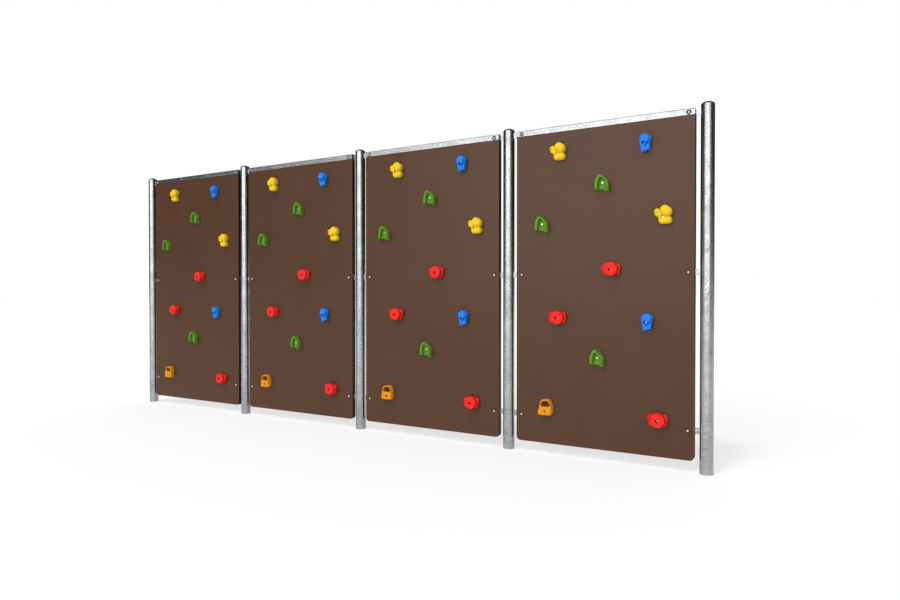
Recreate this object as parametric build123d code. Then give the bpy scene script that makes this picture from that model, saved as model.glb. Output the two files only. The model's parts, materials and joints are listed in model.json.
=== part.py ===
from build123d import *
from math import acos, atan2, degrees, sqrt
import os

# Playground climbing wall: four bolt-on panels between five round posts, in millimetres.
# Row frame: X along the wall, the climbing side faces -Y, Z up, ground level at Z = 0,
# origin on the ground at the axis of the middle post.

# ---- driving dimensions -------------------------------------------------------------
PANEL_COUNT = 4
POST_PITCH = 1250.0          # post axis to post axis
POST_HEIGHT = 2137.0         # ground to the crown of the cap
POST_R = 76.1 / 2            # standard 76.1 mm tube
POST_WALL = 2.9
CAP_RISE = 20.0              # height of the domed end cap above the tube
CAP_CROWN_R = 60.0
CAP_KNUCKLE_R = 12.0
CAP_SHEET = 3.0
CAP_SPIGOT = 12.0

PANEL_GAP = 26.0             # clear gap between post and panel edge
PANEL_T = 36.0
PANEL_BOTTOM = 67.0          # clearance under the panel
PANEL_TOP = 2104.0
PANEL_CORNER_R = 28.0        # bottom corners
PANEL_TOP_CORNER_R = 6.0     # top corners, inside the rail
PANEL_EDGE_R = 3.0

RAIL_SHEET = 3.0             # folded sheet of the top rail
RAIL_FLANGE = 37.0           # outside height of the rail
RAIL_SETBACK = 2.0           # rail ends short of the panel edge
RAIL_CORNER_R = 10.0
RAIL_BEND_R = 5.0
RAIL_SCREW_X = 180.0         # rail screws, either side of the panel's middle

LUG_T = 6.0                  # welded flat-bar lug in a slot of the panel edge
LUG_HEIGHT = 36.0
LUG_REACH = 50.0             # how far the lug runs into the panel
SLOT_CLEARANCE = 1.0
EDGE_BOLT_INSET = 37.0       # bolt axis to panel edge
LUG_LEVELS = (242.0, 1162.0, 2085.0)

EDGE_BOLT_R = 5.0            # M10 button-head bolts through panel and lug
EDGE_HEAD_R = 9.0
EDGE_HEAD_H = 5.5
EDGE_WASHER_R = 14.0
EDGE_BACK_WASHER_R = 10.5
EDGE_WASHER_T = 2.5
EDGE_NUT_AF = 17.0
EDGE_NUT_H = 8.0
BOLT_TAIL = 2.0              # thread showing past the nut
BOLT_HOLE_CLEARANCE = 0.5

HOLD_BOLT_R = 5.0            # M10 socket-head bolt into a closed tee nut in the panel's back
HOLD_HEAD_R = 8.0
HOLD_HEAD_H = 9.0
HOLD_HEAD_ROUND = 2.5
HOLD_SOCKET_AF = 8.0
HOLD_WASHER_R = 8.5
HOLD_WASHER_T = 2.0
HOLD_SEAT = 6.0              # washer seat above the panel face
HOLD_RECESS_R = 8.75
SCOOP_FLOOR = 16.0           # floor of the green hold's scoop above the panel face
TEE_BARREL_R = 6.0
TEE_BARREL_L = 14.0
TEE_FLANGE_R = 13.0
TEE_FLANGE_T = 2.0

SCREW_R = 2.25               # anti-rotation screw of a hold
SCREW_HEAD_R = 4.0
SCREW_HEAD_H = 3.0
SCREW_BITE = 13.0            # screw length inside the panel

FIT = 0.05                   # radial gap round screws, nuts and tee nuts

# ---- derived dimensions -------------------------------------------------------------
WALL_LENGTH = PANEL_COUNT * POST_PITCH
PANEL_W = POST_PITCH - 2 * (POST_R + PANEL_GAP)
PANEL_H = PANEL_TOP - PANEL_BOTTOM
PANEL_MID_Z = PANEL_BOTTOM + PANEL_H / 2
FACE_Y = -PANEL_T / 2        # climbing face
BACK_Y = PANEL_T / 2
EDGE_BOLT_X = PANEL_W / 2 - EDGE_BOLT_INSET
RAIL_TOP = PANEL_TOP + RAIL_SHEET
RAIL_Y = PANEL_T / 2 + RAIL_SHEET
RAIL_MID_Z = LUG_LEVELS[-1]
POST_X = [i * POST_PITCH - WALL_LENGTH / 2 for i in range(PANEL_COUNT + 1)]
PANEL_X = [(a + b) / 2 for a, b in zip(POST_X, POST_X[1:])]

# Main-bolt positions of the holds, from the panel's centre line and from the ground.
# Every panel carries the same layout.
HOLD_LAYOUT = {
    "yellow": [(-272, 1928), (382, 1488)],
    "blue": [(275, 1933), (288, 868)],
    "green": [(21, 1719), (-375, 1485), (-9, 638)],
    "red": [(75, 1184), (-270, 881), (356, 285)],
    "orange": [(-347, 279)],
}
SPARE_HOLES = [(-243, 2001), (357, 341)]     # tee nuts left free for moving a hold

# Anti-rotation screw of each kind of hold: its place from the main bolt, and the height of
# its seat above the panel face. Orange has none.
HOLD_SCREW = {
    "yellow": (-33, 29, 23),
    "blue": (8, -33, 27),
    "green": (30, -36, 24),
    "red": (11, -31, 37),
}


# ---- helpers ------------------------------------------------------------------------
def on_face(sketch, proud=0.0):
    """Place a sketch parallel to the climbing face, proud of a hold's base plane."""
    return Plane.XZ.offset(proud) * sketch


def rod(radius, y_from, y_to, x=0.0, z=0.0):
    """Cylinder along Y between two depths."""
    disc = Plane.XZ.offset(-y_to) * Pos(x, z) * Circle(radius)
    return extrude(disc, amount=y_to - y_from)


def ring(radius, bore, y_from, y_to, x=0.0, z=0.0):
    return rod(radius, y_from, y_to, x, z) - rod(bore, y_from, y_to, x, z)


def hex_prism(across_flats, y_from, y_to, x=0.0, z=0.0):
    hexagon = RegularPolygon(across_flats / 2, 6, major_radius=False)
    face = Plane.XZ.offset(-y_to) * Pos(x, z) * hexagon
    return extrude(face, amount=y_to - y_from)


def boulder(outline, proud, roll):
    """Block with the given outline, rounded over along its front edge."""
    block = extrude(on_face(outline), amount=proud)
    return fillet(block.faces().sort_by(Axis.Y)[0].edges(), roll)


def capsule(radius, *centres):
    """Outline round circles of one radius."""
    circles = ShapeList()
    for x, z in centres:
        circles += (Pos(x, z) * Circle(radius)).edges()
    return make_hull(circles)


def drilled(hold, kind, seat=HOLD_SEAT):
    """Counterbore a hold for its main bolt and its anti-rotation screw."""
    hold -= rod(HOLD_RECESS_R, -100, -seat)
    hold -= rod(HOLD_BOLT_R + BOLT_HOLE_CLEARANCE, -seat, 0)
    if kind in HOLD_SCREW:
        x, z, screw_seat = HOLD_SCREW[kind]
        hold -= rod(SCREW_HEAD_R + 0.5, -100, -screw_seat, x, z)
        hold -= rod(SCREW_R + FIT, -screw_seat, 0, x, z)
    return hold


# ---- posts --------------------------------------------------------------------------
def post():
    return extrude(Circle(POST_R) - Circle(POST_R - POST_WALL), amount=POST_HEIGHT - CAP_RISE)


def post_cap():
    """Pressed dome, a wide crown with a tight knuckle, on a short spigot inside the tube."""
    spigot_r = POST_R - POST_WALL - FIT
    bore_r = spigot_r - CAP_SHEET
    crown_z = CAP_RISE - CAP_CROWN_R
    knuckle_x = POST_R - CAP_KNUCKLE_R
    knuckle_z = crown_z + sqrt((CAP_CROWN_R - CAP_KNUCKLE_R) ** 2 - knuckle_x**2)
    turn = degrees(atan2(knuckle_z - crown_z, knuckle_x))
    hollow_r = CAP_CROWN_R - CAP_SHEET
    hollow_turn = degrees(acos(bore_r / hollow_r))
    knuckle = CenterArc((knuckle_x, knuckle_z), CAP_KNUCKLE_R, 0, turn)
    crown = CenterArc((0, crown_z), CAP_CROWN_R, turn, 90 - turn)
    hollow = CenterArc((0, crown_z), hollow_r, hollow_turn, 90 - hollow_turn)
    rim = Polyline(
        knuckle @ 0, (POST_R, 0), (spigot_r, 0), (spigot_r, -CAP_SPIGOT),
        (bore_r, -CAP_SPIGOT), hollow @ 0,
    )
    outline = rim + hollow + Line(hollow @ 1, crown @ 1) + crown + knuckle
    profile = Plane.XZ * make_face(outline)
    return Pos(0, 0, POST_HEIGHT - CAP_RISE) * revolve(profile, Axis.Z)


def lug(side):
    """Flat bar welded to the post at its axis plane; side is +1 for the +X side."""
    length = POST_R + PANEL_GAP + LUG_REACH
    blank = Pos(length / 2, 0) * RectangleRounded(length, LUG_HEIGHT, 6)
    blank += Pos(length / 4, 0) * Rectangle(length / 2, LUG_HEIGHT)
    bar = extrude(Plane.XZ.offset(-LUG_T / 2) * blank, amount=LUG_T)
    bar -= Cylinder(POST_R, LUG_HEIGHT * 2)
    bolt_x = POST_R + PANEL_GAP + EDGE_BOLT_INSET
    bar -= rod(EDGE_BOLT_R + BOLT_HOLE_CLEARANCE, -LUG_T, LUG_T, bolt_x)
    return bar if side > 0 else bar.mirror(Plane.YZ)


def post_lugs(index):
    sides = [s for s in (-1, 1) if 0 <= index + (s - 1) // 2 < PANEL_COUNT]
    return [Pos(POST_X[index], 0, z) * lug(s) for s in sides for z in LUG_LEVELS]


# ---- panel and top rail -------------------------------------------------------------
def panel():
    outline = Rectangle(PANEL_W, PANEL_H)
    outline = fillet(outline.vertices().group_by(Axis.Y)[0], PANEL_CORNER_R)
    outline = fillet(outline.vertices().group_by(Axis.Y)[-1], PANEL_TOP_CORNER_R)
    sheet = extrude(Plane.XZ.offset(-BACK_Y) * outline, amount=PANEL_T)
    rims = sheet.faces().filter_by(Axis.Y).edges()
    sheet = Pos(0, 0, PANEL_MID_Z) * fillet(rims, PANEL_EDGE_R)
    slot_l = LUG_REACH + SLOT_CLEARANCE
    for side in (-1, 1):
        slot_x = side * (PANEL_W - slot_l) / 2
        for z in LUG_LEVELS:
            slot_low = z - LUG_HEIGHT / 2 - SLOT_CLEARANCE
            # the top slot runs out through the panel's top edge, under the rail
            slot_high = PANEL_TOP if z == RAIL_MID_Z else z + LUG_HEIGHT / 2 + SLOT_CLEARANCE
            slot_h = slot_high - slot_low
            sheet -= Pos(slot_x, 0, slot_low + slot_h / 2) * Box(slot_l, LUG_T, slot_h)
            sheet -= rod(EDGE_BOLT_R + BOLT_HOLE_CLEARANCE, FACE_Y, BACK_Y, side * EDGE_BOLT_X, z)
        sheet -= rod(SCREW_R + FIT, FACE_Y, FACE_Y + SCREW_BITE, side * RAIL_SCREW_X, RAIL_MID_Z)
    for kind, spots in HOLD_LAYOUT.items():
        for x, z in spots:
            sheet -= rod(TEE_BARREL_R + FIT, FACE_Y, BACK_Y, x, z)
            if kind in HOLD_SCREW:
                dx, dz, _ = HOLD_SCREW[kind]
                sheet -= rod(SCREW_R + FIT, FACE_Y, FACE_Y + SCREW_BITE, x + dx, z + dz)
    for x, z in SPARE_HOLES:
        sheet -= rod(TEE_BARREL_R + FIT, FACE_Y, BACK_Y, x, z)
    return sheet


def top_rail():
    """Folded channel that caps the panel's top edge."""
    length = PANEL_W - 2 * RAIL_SETBACK
    bend_in = RAIL_BEND_R - RAIL_SHEET
    outer = FilletPolyline(
        (-RAIL_Y, -RAIL_FLANGE), (-RAIL_Y, 0), (RAIL_Y, 0), (RAIL_Y, -RAIL_FLANGE),
        radius=RAIL_BEND_R,
    )
    inner_y = RAIL_Y - RAIL_SHEET
    inner = FilletPolyline(
        (inner_y, -RAIL_FLANGE), (inner_y, -RAIL_SHEET),
        (-inner_y, -RAIL_SHEET), (-inner_y, -RAIL_FLANGE),
        radius=bend_in,
    )
    section = make_face(outer + Line(outer @ 1, inner @ 0) + inner + Line(inner @ 1, outer @ 0))
    rail = Pos(0, 0, RAIL_TOP) * extrude(Plane.YZ.offset(-length / 2) * section, amount=length)
    # twice the rail's height, so that only its lower corners are rounded
    face_outline = Pos(0, RAIL_TOP) * RectangleRounded(length, 2 * RAIL_FLANGE, RAIL_CORNER_R)
    rail &= extrude(Plane.XZ.offset(-50) * face_outline, amount=100)
    for side in (-1, 1):
        rail -= rod(EDGE_BOLT_R + BOLT_HOLE_CLEARANCE, -RAIL_Y, RAIL_Y, side * EDGE_BOLT_X, RAIL_MID_Z)
        rail -= rod(SCREW_R + FIT, -RAIL_Y, 0, side * RAIL_SCREW_X, RAIL_MID_Z)
    return rail


# ---- climbing holds: main bolt at the origin, base plane Y = 0 ----------------------
def yellow_hold():
    """Cluster of three rounded boulders round the bolt."""
    body = boulder(capsule(28.5, (15, 40), (27, 30)), 45, 18)
    body += boulder(capsule(17.5, (-30, 34), (-27, 20)), 28, 11)
    body += boulder(capsule(24, (0, -18), (31, -18)), 34, 16)
    body += boulder(Pos(-5, 8) * Circle(24), 24, 8)
    return drilled(body, "yellow")


def blue_hold():
    """Broad rounded crown that narrows to a flat-ended jaw."""
    crown = (Pos(7, 20) * Circle(34)).edges()
    jaw = (Pos(-2, -42) * Circle(9)).edges() + (Pos(22, -38) * Circle(9)).edges()
    return drilled(boulder(make_hull(crown + jaw), 46, 13), "blue")


def green_hold():
    """Arched block with a raised rim round a scooped middle that opens downwards."""
    outline = FilletPolyline(
        (-47, -42), (-46, 6), (-34, 38), (-22, 53), (-4, 53), (42, 8), (45, -55), (31, -56), (10, -42),
        radius=[5, 30, 14, 12, 18, 14, 5, 5, 10], close=True,
    )
    body = extrude(on_face(make_face(outline)), amount=36, taper=8)
    scoop = FilletPolyline(
        (-22, -90), (-22, 6), (-12, 29), (0, 29), (26, 0), (26, -18), (22, -26), (22, -90),
        radius=[1, 12, 8, 8, 12, 3, 3, 1], close=True,
    )
    body -= extrude(on_face(make_face(scoop), SCOOP_FLOOR), amount=60, taper=-8)
    return drilled(body, "green")


def red_hold():
    """Thick round disc in front of two ears."""
    body = boulder(Pos(2, 2) * Ellipse(45.5, 43), 44, 9)
    body += boulder(capsule(19.5, (40, 19), (36, -14)), 27, 8)
    body += boulder(capsule(20, (-37, 18), (-31, -12)), 27, 8)
    return drilled(body, "red")


def orange_hold():
    """Rounded trapezoid block with a finger pocket right through its upper half."""
    outline = FilletPolyline(
        (-52, -29), (-52, 4), (-35, 76), (36, 76), (46, 22), (44, -29),
        radius=[10, 30, 26, 26, 40, 18], close=True,
    )
    body = boulder(make_face(outline), 44, 9)
    pocket = FilletPolyline(
        (-28, 28), (-20, 67), (24, 67), (32, 28), radius=[9, 10, 10, 9], close=True
    )
    body -= extrude(on_face(make_face(pocket)), amount=60)
    return drilled(body, "orange")


# ---- fasteners ----------------------------------------------------------------------
def dome_head(radius, height, y_seat, x, z):
    """Button head that stands on the plane Y = y_seat and points to -Y."""
    sphere_r = (radius**2 + height**2) / (2 * height)
    ball = Pos(x, y_seat - height + sphere_r, z) * Sphere(sphere_r)
    return ball & rod(radius + 1, y_seat - height - 1, y_seat, x, z)


def edge_sites():
    """Yield the place and the clamped half-depth of every panel edge bolt."""
    for mid in PANEL_X:
        for side in (-1, 1):
            for z in LUG_LEVELS:
                clamp = RAIL_Y if z == RAIL_MID_Z else BACK_Y
                yield mid + side * EDGE_BOLT_X, z, clamp


def hold_sites():
    """Yield the kind and the place of every hold on the wall."""
    for mid in PANEL_X:
        for kind, spots in HOLD_LAYOUT.items():
            for x, z in spots:
                yield kind, mid + x, z


def edge_bolts():
    bolts = []
    for x, z, clamp in edge_sites():
        seat = -clamp - EDGE_WASHER_T
        end = clamp + EDGE_WASHER_T + EDGE_NUT_H + BOLT_TAIL
        head = dome_head(EDGE_HEAD_R, EDGE_HEAD_H, seat, x, z)
        bolts.append(head + rod(EDGE_BOLT_R, seat, end, x, z))
    return bolts


def edge_front_washers():
    bore = EDGE_BOLT_R + FIT
    return [ring(EDGE_WASHER_R, bore, -c - EDGE_WASHER_T, -c, x, z) for x, z, c in edge_sites()]


def edge_back_washers():
    bore = EDGE_BOLT_R + FIT
    return [ring(EDGE_BACK_WASHER_R, bore, c, c + EDGE_WASHER_T, x, z) for x, z, c in edge_sites()]


def edge_nuts():
    bore = EDGE_BOLT_R + FIT
    nuts = []
    for x, z, clamp in edge_sites():
        start = clamp + EDGE_WASHER_T
        end = start + EDGE_NUT_H
        nuts.append(hex_prism(EDGE_NUT_AF, start, end, x, z) - rod(bore, start, end, x, z))
    return nuts


def hold_bolts():
    bolts = []
    seat = FACE_Y - HOLD_SEAT - HOLD_WASHER_T
    for _, x, z in hold_sites():
        head = rod(HOLD_HEAD_R, seat - HOLD_HEAD_H, seat, x, z)
        head = fillet(head.faces().sort_by(Axis.Y)[0].edges(), HOLD_HEAD_ROUND)
        head -= hex_prism(HOLD_SOCKET_AF, seat - HOLD_HEAD_H, seat - HOLD_HEAD_H / 2, x, z)
        bolts.append(head + rod(HOLD_BOLT_R, seat, BACK_Y, x, z))
    return bolts


def hold_washers():
    seat = FACE_Y - HOLD_SEAT
    bore = HOLD_BOLT_R + FIT
    return [ring(HOLD_WASHER_R, bore, seat - HOLD_WASHER_T, seat, x, z) for _, x, z in hold_sites()]


def tee_nuts():
    """Closed tee nuts: the flange covers the barrel's bore at the back."""
    sites = [(x, z) for _, x, z in hold_sites()]
    sites += [(mid + x, z) for mid in PANEL_X for x, z in SPARE_HOLES]
    front = BACK_Y - TEE_BARREL_L
    back = BACK_Y + TEE_FLANGE_T
    nuts = []
    for x, z in sites:
        nut = rod(TEE_FLANGE_R, BACK_Y, back, x, z) + rod(TEE_BARREL_R, front, BACK_Y, x, z)
        nuts.append(nut - rod(HOLD_BOLT_R + FIT, front, BACK_Y, x, z))
    return nuts


def wood_screw(x, z, seat):
    """Dome-headed screw whose head sits on the plane Y = seat."""
    head = dome_head(SCREW_HEAD_R, SCREW_HEAD_H, seat, x, z)
    return head + rod(SCREW_R, seat, FACE_Y + SCREW_BITE, x, z)


def hold_screws():
    screws = []
    for kind, x, z in hold_sites():
        if kind in HOLD_SCREW:
            dx, dz, seat = HOLD_SCREW[kind]
            screws.append(wood_screw(x + dx, z + dz, FACE_Y - seat))
    return screws


def rail_screws():
    return [
        wood_screw(mid + side * RAIL_SCREW_X, RAIL_MID_Z, -RAIL_Y)
        for mid in PANEL_X for side in (-1, 1)
    ]


# ---- assembly -----------------------------------------------------------------------
HOLD_MAKERS = {
    "yellow": yellow_hold,
    "blue": blue_hold,
    "green": green_hold,
    "red": red_hold,
    "orange": orange_hold,
}


def build():
    nodes = {}
    one_post, one_cap = post(), post_cap()
    for i, x in enumerate(POST_X):
        nodes[f"post_{i + 1}"] = [Pos(x, 0, 0) * one_post]
        nodes[f"post_cap_{i + 1}"] = [Pos(x, 0, 0) * one_cap]
        nodes[f"post_lugs_{i + 1}"] = post_lugs(i)
    one_panel, one_rail = panel(), top_rail()
    holds = {kind: make() for kind, make in HOLD_MAKERS.items()}
    for i, mid in enumerate(PANEL_X):
        nodes[f"panel_{i + 1}"] = [Pos(mid, 0, 0) * one_panel]
        nodes[f"top_rail_{i + 1}"] = [Pos(mid, 0, 0) * one_rail]
        for kind, spots in HOLD_LAYOUT.items():
            nodes[f"{kind}_holds_{i + 1}"] = [Pos(mid + x, FACE_Y, z) * holds[kind] for x, z in spots]
    nodes["edge_bolts"] = edge_bolts()
    nodes["edge_front_washers"] = edge_front_washers()
    nodes["edge_back_washers"] = edge_back_washers()
    nodes["edge_nuts"] = edge_nuts()
    nodes["hold_bolts"] = hold_bolts()
    nodes["hold_washers"] = hold_washers()
    nodes["hold_tee_nuts"] = tee_nuts()
    nodes["hold_screws"] = hold_screws()
    nodes["rail_screws"] = rail_screws()
    return nodes


os.makedirs("parts", exist_ok=True)
for name, solids in build().items():
    shape = solids[0] if len(solids) == 1 else Compound(children=solids)
    export_step(shape, f"parts/{name}.step")
    print(name, len(solids), "solid(s)")
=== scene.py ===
import json
import math

import bpy
import numpy as np
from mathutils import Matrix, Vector


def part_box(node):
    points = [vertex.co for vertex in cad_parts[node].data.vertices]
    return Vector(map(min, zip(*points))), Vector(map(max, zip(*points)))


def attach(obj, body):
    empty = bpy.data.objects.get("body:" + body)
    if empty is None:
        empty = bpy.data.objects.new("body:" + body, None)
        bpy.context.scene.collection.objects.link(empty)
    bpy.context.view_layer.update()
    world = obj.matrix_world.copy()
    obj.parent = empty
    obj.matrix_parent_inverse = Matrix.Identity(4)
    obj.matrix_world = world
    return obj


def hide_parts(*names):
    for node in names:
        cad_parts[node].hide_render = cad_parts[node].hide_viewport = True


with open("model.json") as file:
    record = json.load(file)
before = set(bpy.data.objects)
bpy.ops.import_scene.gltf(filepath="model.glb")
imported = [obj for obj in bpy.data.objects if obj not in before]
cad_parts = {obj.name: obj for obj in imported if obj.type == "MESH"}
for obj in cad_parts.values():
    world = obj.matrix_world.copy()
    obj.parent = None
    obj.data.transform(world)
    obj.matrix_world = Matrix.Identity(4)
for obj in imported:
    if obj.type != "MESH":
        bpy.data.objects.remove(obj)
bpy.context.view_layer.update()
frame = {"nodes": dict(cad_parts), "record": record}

MM = 0.001
BAYS = (1, 2, 3, 4)
FACE_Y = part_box("panel_1")[0].y      # climbing face of the panels


# ---- camera ------------------------------------------------------------------------
CAMERA_PLACE = (3.0995, -3.965, 1.044)
CAMERA_YAW = 0.5268                  # to the left of +Y
CAMERA_PITCH = 0.0115                # down
CAMERA_LENS = 26.0
CAMERA_SENSOR = 36.0


def make_camera():
    data = bpy.data.cameras.new("camera")
    data.lens = CAMERA_LENS
    data.sensor_width = CAMERA_SENSOR
    camera = bpy.data.objects.new("camera", data)
    camera.location = CAMERA_PLACE
    forward = Vector((
        -math.sin(CAMERA_YAW) * math.cos(CAMERA_PITCH),
        math.cos(CAMERA_YAW) * math.cos(CAMERA_PITCH),
        -math.sin(CAMERA_PITCH),
    ))
    camera.rotation_euler = forward.to_track_quat("-Z", "Y").to_euler()
    bpy.context.scene.collection.objects.link(camera)
    bpy.context.scene.camera = camera


make_camera()
bpy.context.scene.view_settings.view_transform = "Standard"


# ---- node helpers ------------------------------------------------------------------
class Nodes:
    """A node tree built call by call; a value is a number, a tuple or another node's output."""

    def __init__(self, tree):
        self.tree = tree

    def plug(self, value, socket):
        if isinstance(value, bpy.types.NodeSocket):
            self.tree.links.new(value, socket)
        else:
            socket.default_value = value

    def new(self, kind, **settings):
        node = self.tree.nodes.new(kind)
        for key, value in settings.items():
            setattr(node, key, value)
        return node

    def feed(self, node, **inputs):
        """Set or link inputs by name; the name's underscores stand for spaces."""
        for key, value in inputs.items():
            self.plug(value, node.inputs[key.replace("_", " ")])
        return node

    def spread(self, value, low, high, to_low=0.0, to_high=1.0, **settings):
        """Map the range low to high onto to_low to to_high."""
        node = self.new("ShaderNodeMapRange", **settings)
        self.feed(node, Value=value, From_Min=low, From_Max=high, To_Min=to_low, To_Max=to_high)
        return node.outputs["Result"]

    def math(self, operation, a, b=0.0):
        node = self.new("ShaderNodeMath", operation=operation)
        self.plug(a, node.inputs[0])
        self.plug(b, node.inputs[1])
        return node.outputs["Value"]

    def total(self, *terms):
        """Sum of (value, weight) pairs."""
        parts = [self.math("MULTIPLY", value, weight) for value, weight in terms]
        result = parts[0]
        for part in parts[1:]:
            result = self.math("ADD", result, part)
        return result


class Paint(Nodes):
    """A material round a Principled shader."""

    def __init__(self, name, color=(0.5, 0.5, 0.5), **values):
        self.material = bpy.data.materials.new(name)
        self.material.use_nodes = True
        super().__init__(self.material.node_tree)
        self.shader = self.tree.nodes["Principled BSDF"]
        self.feed(self.shader, Base_Color=(*color, 1), **values)
        self.place = self.new("ShaderNodeTexCoord").outputs["Object"]

    def stretched(self, x, y, z):
        """Object coordinates scaled along each axis."""
        mapping = self.feed(self.new("ShaderNodeMapping"), Vector=self.place, Scale=(x, y, z))
        return mapping.outputs["Vector"]

    def noise(self, scale, detail=3.0, rough=0.5, vector=None):
        node = self.new("ShaderNodeTexNoise")
        self.feed(node, Vector=vector or self.place, Scale=scale, Detail=detail, Roughness=rough)
        return node.outputs["Fac"]

    def mix(self, factor, a, b):
        """Colour between a and b."""
        node = self.feed(self.new("ShaderNodeMix", data_type="RGBA"), Factor=factor)
        sockets = [s for s in node.inputs if s.type == "RGBA"]
        for socket, value in zip(sockets, (a, b)):
            self.plug((*value, 1) if isinstance(value, tuple) else value, socket)
        return next(s for s in node.outputs if s.type == "RGBA")

    def bump(self, height, strength, distance, under=None):
        node = self.new("ShaderNodeBump")
        self.feed(node, Height=height, Strength=strength, Distance=distance)
        if under is not None:
            self.plug(under, node.inputs["Normal"])
        return node.outputs["Normal"]

    def finish(self, **inputs):
        self.feed(self.shader, **inputs)
        return self.material


# ---- materials ---------------------------------------------------------------------
ZINC_DARK, ZINC_LIGHT = (0.16, 0.175, 0.185), (0.97, 0.99, 1.0)
BLOTCH_SCALE = 56.84


def galvanised():
    """Hot-dip zinc: ragged blotches of different shades, cloudy areas and a slightly uneven skin."""
    paint = Paint("galvanised_steel", Metallic=1.0)
    # cells laid over a noise field instead of over the surface, so that they come out ragged
    field = paint.feed(paint.new("ShaderNodeTexNoise"), Vector=paint.place, Scale=35.0, Detail=2.0)
    cells = paint.new("ShaderNodeTexVoronoi")
    paint.feed(cells, Vector=field.outputs["Color"], Scale=BLOTCH_SCALE)
    split = paint.feed(paint.new("ShaderNodeSeparateColor"), Color=cells.outputs["Color"])
    blotch = split.outputs["Red"]
    cloud = paint.spread(paint.noise(9.0, 4.0, 0.6), 0.35, 0.65)
    shade = paint.total((blotch, 0.82), (cloud, 0.18))
    color = paint.mix(shade, ZINC_DARK, ZINC_LIGHT)
    rough = paint.spread(shade, 0.0, 1.0, 0.16, 0.08)
    skin = paint.bump(paint.noise(220.0, 2.0), 0.12, 0.001)
    skin = paint.bump(blotch, 0.28, 0.0007, skin)
    return paint.finish(Base_Color=color, Roughness=rough, Normal=skin)


FILM_DARK, FILM_LIGHT = (0.063, 0.0275, 0.0138), (0.075, 0.034, 0.0178)
EDGE_DARK, EDGE_LIGHT = (0.006, 0.004, 0.003), (0.014, 0.009, 0.006)


def film_faced_plywood():
    """Dark brown phenolic film over plywood; the sealed edges are almost black."""
    paint = Paint("panel_brown", Specular_IOR_Level=0.28)
    grain = paint.noise(9.0, 5.0, 0.6, paint.stretched(14.0, 14.0, 1.0))
    cloud = paint.noise(2.2, 3.0, 0.5)
    speck = paint.noise(420.0, 2.0, 0.6)
    tone = paint.total((grain, 0.35), (cloud, 0.35), (speck, 0.3))
    face = paint.mix(paint.spread(tone, 0.36, 0.64), FILM_DARK, FILM_LIGHT)
    ply = paint.new("ShaderNodeTexWave", wave_type="BANDS", bands_direction="Y")
    paint.feed(ply, Vector=paint.place, Scale=105.0, Distortion=0.6, Detail=1.0)
    edge = paint.mix(ply.outputs["Fac"], EDGE_DARK, EDGE_LIGHT)
    normal = paint.new("ShaderNodeNewGeometry").outputs["True Normal"]
    turned = paint.feed(paint.new("ShaderNodeSeparateXYZ"), Vector=normal).outputs["Y"]
    flat = paint.spread(paint.math("ABSOLUTE", turned), 0.75, 0.93)
    color = paint.mix(flat, edge, face)
    rough = paint.spread(tone, 0.3, 0.7, 0.26, 0.34)
    skin = paint.bump(speck, 0.10, 0.0006)
    skin = paint.bump(grain, 0.08, 0.0008, skin)
    return paint.finish(Base_Color=color, Roughness=rough, Normal=skin)


def resin(name, color, dark):
    """Cast resin hold: fine sand texture, lighter rubbed edges and painted shade darkening the
    hollows.
    """
    paint = Paint(name, Specular_IOR_Level=0.22)
    grit = paint.noise(900.0, 3.0, 0.7)
    blotch = paint.noise(60.0, 3.0, 0.55)
    tone = paint.total((grit, 0.45), (blotch, 0.55))
    base = paint.mix(paint.spread(tone, 0.35, 0.65), dark, color)
    curve = paint.new("ShaderNodeNewGeometry").outputs["Pointiness"]
    rubbed = paint.spread(curve, 0.52, 0.60, 0.0, 0.22)
    lighter = tuple(0.72 * c + 0.28 for c in color)
    base = paint.mix(rubbed, base, lighter)
    # painted shade: the colour goes darker where the surface curves inward, in hollows and creases
    painted_hollow_shade = paint.spread(curve, 0.47, 0.38, 0.0, 0.22)
    base = paint.mix(painted_hollow_shade, base, tuple(0.45 * c for c in dark))
    rough = paint.spread(grit, 0.3, 0.7, 0.44, 0.60)
    skin = paint.bump(grit, 0.30, 0.0006)
    skin = paint.bump(paint.noise(130.0, 2.0), 0.15, 0.0015, skin)
    return paint.finish(Base_Color=base, Roughness=rough, Normal=skin)


def bright_steel(name, color, low, high):
    """Turned or pressed steel with a fine brushed grain."""
    paint = Paint(name, color, Metallic=1.0)
    brush = paint.noise(900.0, 3.0, 0.6)
    cloud = paint.noise(120.0, 2.0)
    tone = paint.mix(cloud, tuple(0.82 * c for c in color), color)
    rough = paint.spread(brush, 0.3, 0.7, low, high)
    return paint.finish(Base_Color=tone, Roughness=rough, Normal=paint.bump(brush, 0.06, 0.0003))


def nylon():
    """Moulded black nylon with a faint grain."""
    paint = Paint("black_nylon")
    grain = paint.noise(1400.0, 2.0, 0.6)
    color = paint.mix(grain, (0.010, 0.010, 0.011), (0.028, 0.028, 0.030))
    rough = paint.spread(grain, 0.3, 0.7, 0.42, 0.58)
    return paint.finish(Base_Color=color, Roughness=rough, Normal=paint.bump(grain, 0.15, 0.0003))


MATERIALS = {
    "galvanised_steel": galvanised(),
    "panel_brown": film_faced_plywood(),
    "hold_yellow": resin("hold_yellow", (0.72, 0.50, 0.008), (0.60, 0.40, 0.005)),
    "hold_blue": resin("hold_blue", (0.010, 0.185, 0.70), (0.007, 0.145, 0.56)),
    "hold_green": resin("hold_green", (0.092, 0.235, 0.012), (0.072, 0.190, 0.009)),
    "hold_red": resin("hold_red", (0.72, 0.016, 0.010), (0.58, 0.011, 0.007)),
    "hold_orange": resin("hold_orange", (0.70, 0.27, 0.006), (0.55, 0.20, 0.004)),
    "stainless_steel": bright_steel("stainless_steel", (0.86, 0.86, 0.85), 0.08, 0.18),
    "zinc_steel": bright_steel("zinc_steel", (0.60, 0.62, 0.64), 0.30, 0.45),
    "black_nylon": nylon(),
}


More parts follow.
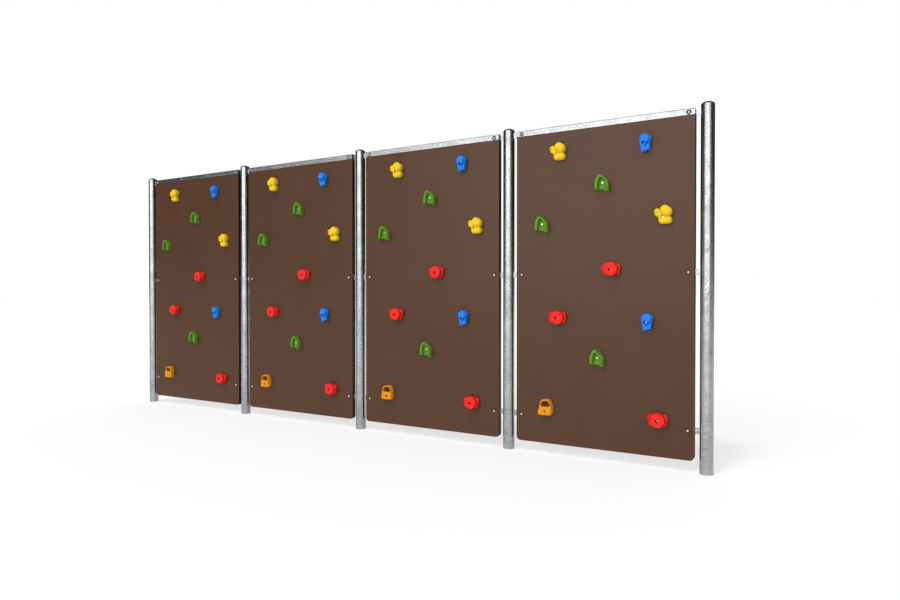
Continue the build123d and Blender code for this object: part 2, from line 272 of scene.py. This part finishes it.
def dress_cad_nodes():
    """Give every CAD node the material of its slot in the record."""
    for row in frame["record"]["subparts"]:
        node = frame["nodes"][row["node"]]
        material = MATERIALS[row["material_slot"]]
        if not node.material_slots:
            node.data.materials.append(material)
        for place in node.material_slots:
            place.material = material


dress_cad_nodes()


# ---- sculpting: distance fields in millimetres, d is the height above the panel ------
def join(a, b, soft):
    """Smooth union."""
    h = np.clip(0.5 + 0.5 * (b - a) / soft, 0, 1)
    return b + (a - b) * h - soft * h * (1 - h)


def cut(a, b, soft):
    """a without b, with a rounded rim."""
    return -join(-a, b, soft)


def meet(a, b, r):
    """Intersection with an edge of radius r."""
    corner = np.hypot(np.maximum(a + r, 0), np.maximum(b + r, 0))
    return np.minimum(np.maximum(a, b), -r) + corner


def disc(x, z, cx, cz, r):
    return np.hypot(x - cx, z - cz) - r


def stadium(x, z, start, end, r):
    """Outline at distance r round the line from start to end."""
    (ax, az), (bx, bz) = start, end
    ux, uz = bx - ax, bz - az
    t = np.clip(((x - ax) * ux + (z - az) * uz) / (ux * ux + uz * uz), 0, 1)
    return np.hypot(x - ax - t * ux, z - az - t * uz) - r


def polygon(x, z, corners, r):
    """Outline at distance r round a polygon, so its corners are rounded to radius r."""
    best = np.full(np.shape(x), 1e9)
    inside = np.zeros(np.shape(x), bool)
    for (ax, az), (bx, bz) in zip(corners, corners[1:] + corners[:1]):
        best = np.minimum(best, stadium(x, z, (ax, az), (bx, bz), 0))
        if az != bz:
            crosses = (az > z) != (bz > z)
            inside ^= crosses & (x < ax + (z - az) * (bx - ax) / (bz - az))
    return np.where(inside, -best, best) - r


LUMP_WAVES = 7


def lumps(x, d, z, size, period, seed):
    """Gentle unevenness of a hand-sculpted surface, as a sum of waves in random directions."""
    draw = np.random.default_rng(seed)
    total = 0
    for _ in range(LUMP_WAVES):
        way = draw.normal(size=3)
        way *= 2 * np.pi / (period * draw.uniform(0.7, 1.4) * np.linalg.norm(way))
        total = total + np.sin(x * way[0] + d * way[1] + z * way[2] + draw.uniform(0, 2 * np.pi))
    return size * total / LUMP_WAVES


BOLT_RECESS_R = 8.9
BOLT_SEAT = 6.0          # height of the washer's seat above the panel
BOLT_RIM = 1.5           # rounding of the recess's edge
SHANK_R = 5.4
SCREW_RECESS_R = 4.7
SCREW_RIM = 1.0

# Anti-rotation screw of each kind: its place from the bolt and the height of its seat.
SCREWS = {
    "yellow": (-33, 29, 23),
    "blue": (8, -33, 27),
    "green": (30, -36, 24),
    "red": (11, -31, 37),
}


def drilled(f, x, d, z, kind):
    """Bore a hold for its main bolt and for its screw."""
    hole = np.maximum(disc(x, z, 0, 0, BOLT_RECESS_R), BOLT_SEAT - d)
    f = cut(f, hole, BOLT_RIM)
    f = np.maximum(f, -disc(x, z, 0, 0, SHANK_R))
    if kind in SCREWS:
        screw_x, screw_z, seat = SCREWS[kind]
        pit = np.maximum(disc(x, z, screw_x, screw_z, SCREW_RECESS_R), seat - d)
        f = cut(f, pit, SCREW_RIM)
    return f


def yellow(x, d, z):
    """Three lobes round the bolt, with a low neck between them."""
    big = meet(stadium(x, z, (15, 40), (27, 30), 28.5), d - 45, 20)
    small = meet(stadium(x, z, (-30, 34), (-27, 20), 17.5), d - 28, 11)
    low = meet(stadium(x, z, (0, -18), (31, -18), 23.5), d - 34, 17)
    neck = meet(disc(x, z, -6, 9, 23), d - 25, 12)
    body = join(join(big, low, 3), join(small, neck, 4), 5)
    body = body + lumps(x, d, z, 1.0, 42, 3)
    return drilled(body, x, d, z, "yellow")


BLUE_JAW = [(-20, 12), (-10, -46), (27, -36), (29, 12)]


def blue(x, d, z):
    """Domed crown over a tapering jaw, with a crease from the middle to the right."""
    crown = meet(disc(x, z, 6, 20, 31.5), d - 46, 14)
    shoulder = meet(disc(x, z, 26, 25, 17), d - 34, 12)
    jaw = meet(polygon(x, z, BLUE_JAW, 6), d - 34 - 0.06 * z, 8)
    body = join(join(crown, shoulder, 4), jaw, 6)
    crease = stadium(x, z, (11, -15), (36, 9), 2.0)
    groove = np.hypot(np.maximum(crease, 0), np.maximum(29 - d, 0)) - 4
    body = cut(body, groove, 6)
    body = body + lumps(x, d, z, 1.0, 36, 5)
    return drilled(body, x, d, z, "blue")


GREEN_OUTLINE = [
    (-41, -37), (-40, 8), (-31, 33), (-20, 47), (-7, 47), (36, 4), (39, -50), (31, -50), (6, -37),
]
GREEN_SCOOP = [
    (-18, -120), (-17, -6), (-10, 23), (-3, 25), (21, -2), (22, -18), (17, -30), (17, -120),
]
GREEN_SCOOP_FLOOR = 16


def green(x, d, z):
    """Sharkfin with a scoop that is open at the bottom."""
    outline = polygon(x, z, GREEN_OUTLINE, 6)
    body = meet(outline + 0.12 * (d - 10), d - 37, 7)
    rise = d - GREEN_SCOOP_FLOOR
    scoop = np.maximum(polygon(x, z, GREEN_SCOOP, 5) - 0.14 * rise, -rise)
    body = cut(body, scoop, 6)
    body = body + lumps(x, d, z, 0.8, 40, 7)
    return drilled(body, x, d, z, "green")


def red(x, d, z):
    """Round boss between two low ears, with a groove round the boss."""
    face = meet(disc(x, 1.05 * z, 2, 3, 45), d - 44, 10)
    right = meet(stadium(x, z, (40, 19), (36, -14), 19.5), d - 27, 9)
    left = meet(stadium(x, z, (-37, 18), (-31, -12), 20), d - 27, 9)
    groove = np.hypot(disc(x, 1.05 * z, 2, 3, 47.5), np.maximum(20 - d, 0)) - 2.5
    ears = cut(np.minimum(left, right), groove, 2)
    body = join(face, ears, 2.0)
    body = body + lumps(x, d, z, 0.7, 45, 11)
    return drilled(body, x, d, z, "red")


ORANGE_OUTLINE = [(-25, -4), (-12, 50), (13, 50), (21, 26), (19, -4)]
ORANGE_CORNER = [(-45, -21), (-44, 2), (-28, -4), (-26, -21)]
ORANGE_POCKET = [(-16, 42), (-10, 54), (14, 54), (21, 42)]


def orange(x, d, z):
    """Tapering block with a pocket through to the panel and a small foot at the left."""
    body = meet(polygon(x, z, ORANGE_OUTLINE, 24) + 0.12 * (d - 20), d - 34 - 0.13 * z, 10)
    body = join(body, meet(polygon(x, z, ORANGE_CORNER, 5), d - 30, 8), 6)
    body = cut(body, polygon(x, z, ORANGE_POCKET, 13) - 0.05 * (d - 20), 5)
    body = body + lumps(x, d, z, 0.7, 44, 13)
    return drilled(body, x, d, z, "orange")


# Field of each kind, and the low and high corners (x, z) of the box that holds it.
SHAPES = {
    "yellow": (yellow, (-56, -54), (62, 72)),
    "blue": (blue, (-38, -68), (52, 64)),
    "green": (green, (-50, -68), (58, 66)),
    "red": (red, (-70, -50), (70, 58)),
    "orange": (orange, (-62, -36), (62, 88)),
}
GRID_STEP = 2.0
GRID_DEPTHS = (-5, 52.0)
BASE_LIFT = 0.1          # height of a hold's flat base above the panel


def surface_net(field, low, high, step):
    """Points on the zero level of a field, one to each grid cell it crosses, and their quads."""
    axes = [np.arange(a, b + step, step) for a, b in zip(low, high)]
    x, d, z = np.meshgrid(*axes, indexing="ij")
    value = field(x, d, z)
    inside = value < 0
    cells = tuple(n - 1 for n in value.shape)
    total = np.zeros((*cells, 3))
    count = np.zeros(cells)
    spots = np.stack([x, d, z], -1)

    def part(array, corner):
        return array[tuple(slice(c, c + n) for c, n in zip(corner, cells))]

    for axis in range(3):
        others = [a for a in range(3) if a != axis]
        for i in (0, 1):
            for j in (0, 1):
                start = [0, 0, 0]
                start[others[0]], start[others[1]] = i, j
                end = list(start)
                end[axis] = 1
                va, vb = part(value, start), part(value, end)
                crosses = (va < 0) != (vb < 0)
                t = np.where(crosses, va / np.where(crosses, va - vb, 1), 0)[..., None]
                a, b = part(spots, start), part(spots, end)
                total += np.where(crosses[..., None], a + t * (b - a), 0)
                count += crosses
    used = count > 0
    number = np.full(cells, -1)
    number[used] = np.arange(used.sum())
    points = total[used] / count[used][:, None]
    quads = []
    for axis in range(3):
        b, c = (axis + 1) % 3, (axis + 2) % 3
        first = np.moveaxis(inside, (axis, b, c), (0, 1, 2))
        turned = np.moveaxis(number, (axis, b, c), (0, 1, 2))
        change = (first[:-1] != first[1:])[:, 1:-1, 1:-1]
        i, j, k = np.nonzero(change)
        ring = [(j, k), (j + 1, k), (j + 1, k + 1), (j, k + 1)]
        face = np.stack([turned[i, *at] for at in ring], 1)
        outward = first[i, j + 1, k + 1][:, None]
        quads.append(np.where(outward, face, face[:, ::-1]))
    return settled(field, points), np.concatenate(quads)


def settled(field, points):
    """Pull points onto the zero level along the field's slope, a short way at a time."""
    rounds, reach, flattest, furthest = 3, 0.25, 0.2, 0.8
    for _ in range(rounds):
        here = field(*points.T)
        slope = np.stack([
            field(*(points + reach * unit).T) - field(*(points - reach * unit).T)
            for unit in np.eye(3)
        ], 1) / (2 * reach)
        steepness = np.maximum((slope ** 2).sum(1), flattest)
        move = here[:, None] * slope / steepness[:, None]
        points = points - np.clip(move, -furthest, furthest)
    return points


def hold_mesh(kind):
    """Mesh of a hold, in metres, with its bolt at the origin and its base on the XZ plane."""
    field, (low_x, low_z), (high_x, high_z) = SHAPES[kind]

    def standing(x, d, z):
        return np.maximum(field(x, d, z), BASE_LIFT - d)

    low_d, high_d = GRID_DEPTHS
    low, high = (low_x, low_d, low_z), (high_x, high_d, high_z)
    points, quads = surface_net(standing, low, high, GRID_STEP)
    points = points * (1, -1, 1) * MM
    mesh = bpy.data.meshes.new(f"{kind}_hold")
    mesh.from_pydata(points.tolist(), [], quads[:, ::-1].tolist())
    mesh.update()
    mesh.polygons.foreach_set("use_smooth", np.ones(len(mesh.polygons), bool))
    mesh.materials.append(MATERIALS[f"hold_{kind}"])
    return mesh


# ---- holds at the places of their CAD bolts ------------------------------------------
NEAR = 0.03              # metres; closer to a bolt's axis than any other bolt


def corners(node):
    """Every vertex of a CAD node."""
    data = frame["nodes"][node].data
    flat = np.zeros(len(data.vertices) * 3, np.float32)
    data.vertices.foreach_get("co", flat)
    return flat.reshape(-1, 3)


def bolt_axes():
    """X and Z of every main bolt."""
    left = corners("hold_bolts")[:, [0, 2]]
    axes = []
    while len(left):
        near = np.hypot(*(left - left[0]).T) < NEAR
        group = left[near]
        axes.append((group.min(0) + group.max(0)) / 2)
        left = left[~near]
    return axes


def place_holds():
    """Stand each kind's mesh at its bolts, numbered from the top of the panel down."""
    axes = bolt_axes()
    for kind in SHAPES:
        mesh = hold_mesh(kind)
        for bay in BAYS:
            node = f"{kind}_holds_{bay}"
            flat = corners(node)[:, [0, 2]]
            mine = [a for a in axes if (np.hypot(*(flat - a).T) < NEAR).any()]
            for i, (x, z) in enumerate(sorted(map(tuple, mine), key=lambda a: -a[1])):
                hold = bpy.data.objects.new(f"{kind}_hold_{bay}_{i + 1}", mesh)
                hold.location = (x, FACE_Y, z)
                bpy.context.scene.collection.objects.link(hold)
                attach(hold, "root")
                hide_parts(node)


place_holds()


# ---- stage ---------------------------------------------------------------------------
FLOOR_REACH = 60.0
FLOOR_COLOR = (0.36, 0.36, 0.362)
FLOOR_GLOW = 0.565
FLOOR_GLOW_IN_GLOSS = 0.18

AMBIENT = 0.80           # the surround as diffuse light
GLOSS_BRIGHT = 1.75      # the surround as gloss sees it: soft box in front,
GLOSS_MID = 0.16         # its flanks
GLOSS_DARK = 0.04        # and everything beyond


def make_floor():
    """Very pale floor that keeps only a soft trace of the wall's shadow."""
    size = FLOOR_REACH
    mesh = bpy.data.meshes.new("floor")
    ring = [(-size, -size, 0), (size, -size, 0), (size, size, 0), (-size, size, 0)]
    mesh.from_pydata(ring, [], [(0, 1, 2, 3)])
    floor = bpy.data.objects.new("floor", mesh)
    bpy.context.scene.collection.objects.link(floor)
    paint = Paint("floor", FLOOR_COLOR, Roughness=1.0, Specular_IOR_Level=0.0)
    glossy = paint.new("ShaderNodeLightPath").outputs["Is Glossy Ray"]
    glow = paint.spread(glossy, 0.0, 1.0, FLOOR_GLOW, FLOOR_GLOW_IN_GLOSS)
    mesh.materials.append(paint.finish(Emission_Color=(1, 1, 1, 1), Emission_Strength=glow))


make_floor()


def make_world():
    """White surround. Gloss sees a wide soft box in front with dim flanks and darkness beyond."""
    world = bpy.data.worlds.new("studio")
    bpy.context.scene.world = world
    world.use_nodes = True
    nodes = Nodes(world.node_tree)
    nodes.tree.nodes.clear()
    path = nodes.new("ShaderNodeLightPath")

    def fade(value, dark, bright):
        return nodes.spread(value, dark, bright, interpolation_type="SMOOTHSTEP")

    def window(left_dark, left_bright, right_bright, right_dark):
        """1 between two headings in degrees, fading to 0 outside; 0 is straight in front."""
        left = fade(turn, math.radians(left_dark), math.radians(left_bright))
        right = fade(turn, math.radians(right_dark), math.radians(right_bright))
        return nodes.math("MULTIPLY", left, right)

    def sky(strength):
        made = nodes.feed(nodes.new("ShaderNodeBackground"), Color=(1, 1, 1, 1), Strength=strength)
        return made.outputs["Background"]

    def choose(ray, without, within):
        made = nodes.feed(nodes.new("ShaderNodeMixShader"), Fac=path.outputs[ray])
        nodes.plug(without, made.inputs[1])
        nodes.plug(within, made.inputs[2])
        return made.outputs["Shader"]

    direction = nodes.new("ShaderNodeTexCoord").outputs["Generated"]
    x, y, z = nodes.feed(nodes.new("ShaderNodeSeparateXYZ"), Vector=direction).outputs
    turn = nodes.math("ARCTAN2", x, nodes.math("MULTIPLY", y, -1.0))
    lit = nodes.math("MULTIPLY", window(-38, -28, 42, 52), fade(z, 0.80, 0.55))
    flank = window(-52, -40, 54, 66)
    gloss = nodes.total((flank, GLOSS_MID - GLOSS_DARK), (lit, GLOSS_BRIGHT - GLOSS_MID))
    gloss = nodes.math("ADD", gloss, GLOSS_DARK)
    seen = choose("Is Glossy Ray", sky(AMBIENT), sky(gloss))
    seen = choose("Is Camera Ray", seen, sky(1.0))
    nodes.plug(seen, nodes.new("ShaderNodeOutputWorld").inputs["Surface"])


make_world()


def make_sun(name, energy, spread, travel):
    """Sun with a disc of the given spread in degrees, kept out of reflections."""
    data = bpy.data.lights.new(name, "SUN")
    data.energy = energy
    data.angle = math.radians(spread)
    lamp = bpy.data.objects.new(name, data)
    lamp.visible_glossy = False
    lamp.rotation_euler = Vector(travel).to_track_quat("-Z", "Y").to_euler()
    bpy.context.scene.collection.objects.link(lamp)


make_sun("key", 1.1, 9, (0.16, 0.885, -2.10))
make_sun("front_fill", 1.5, 50, (0.35, 1.0, -0.45))
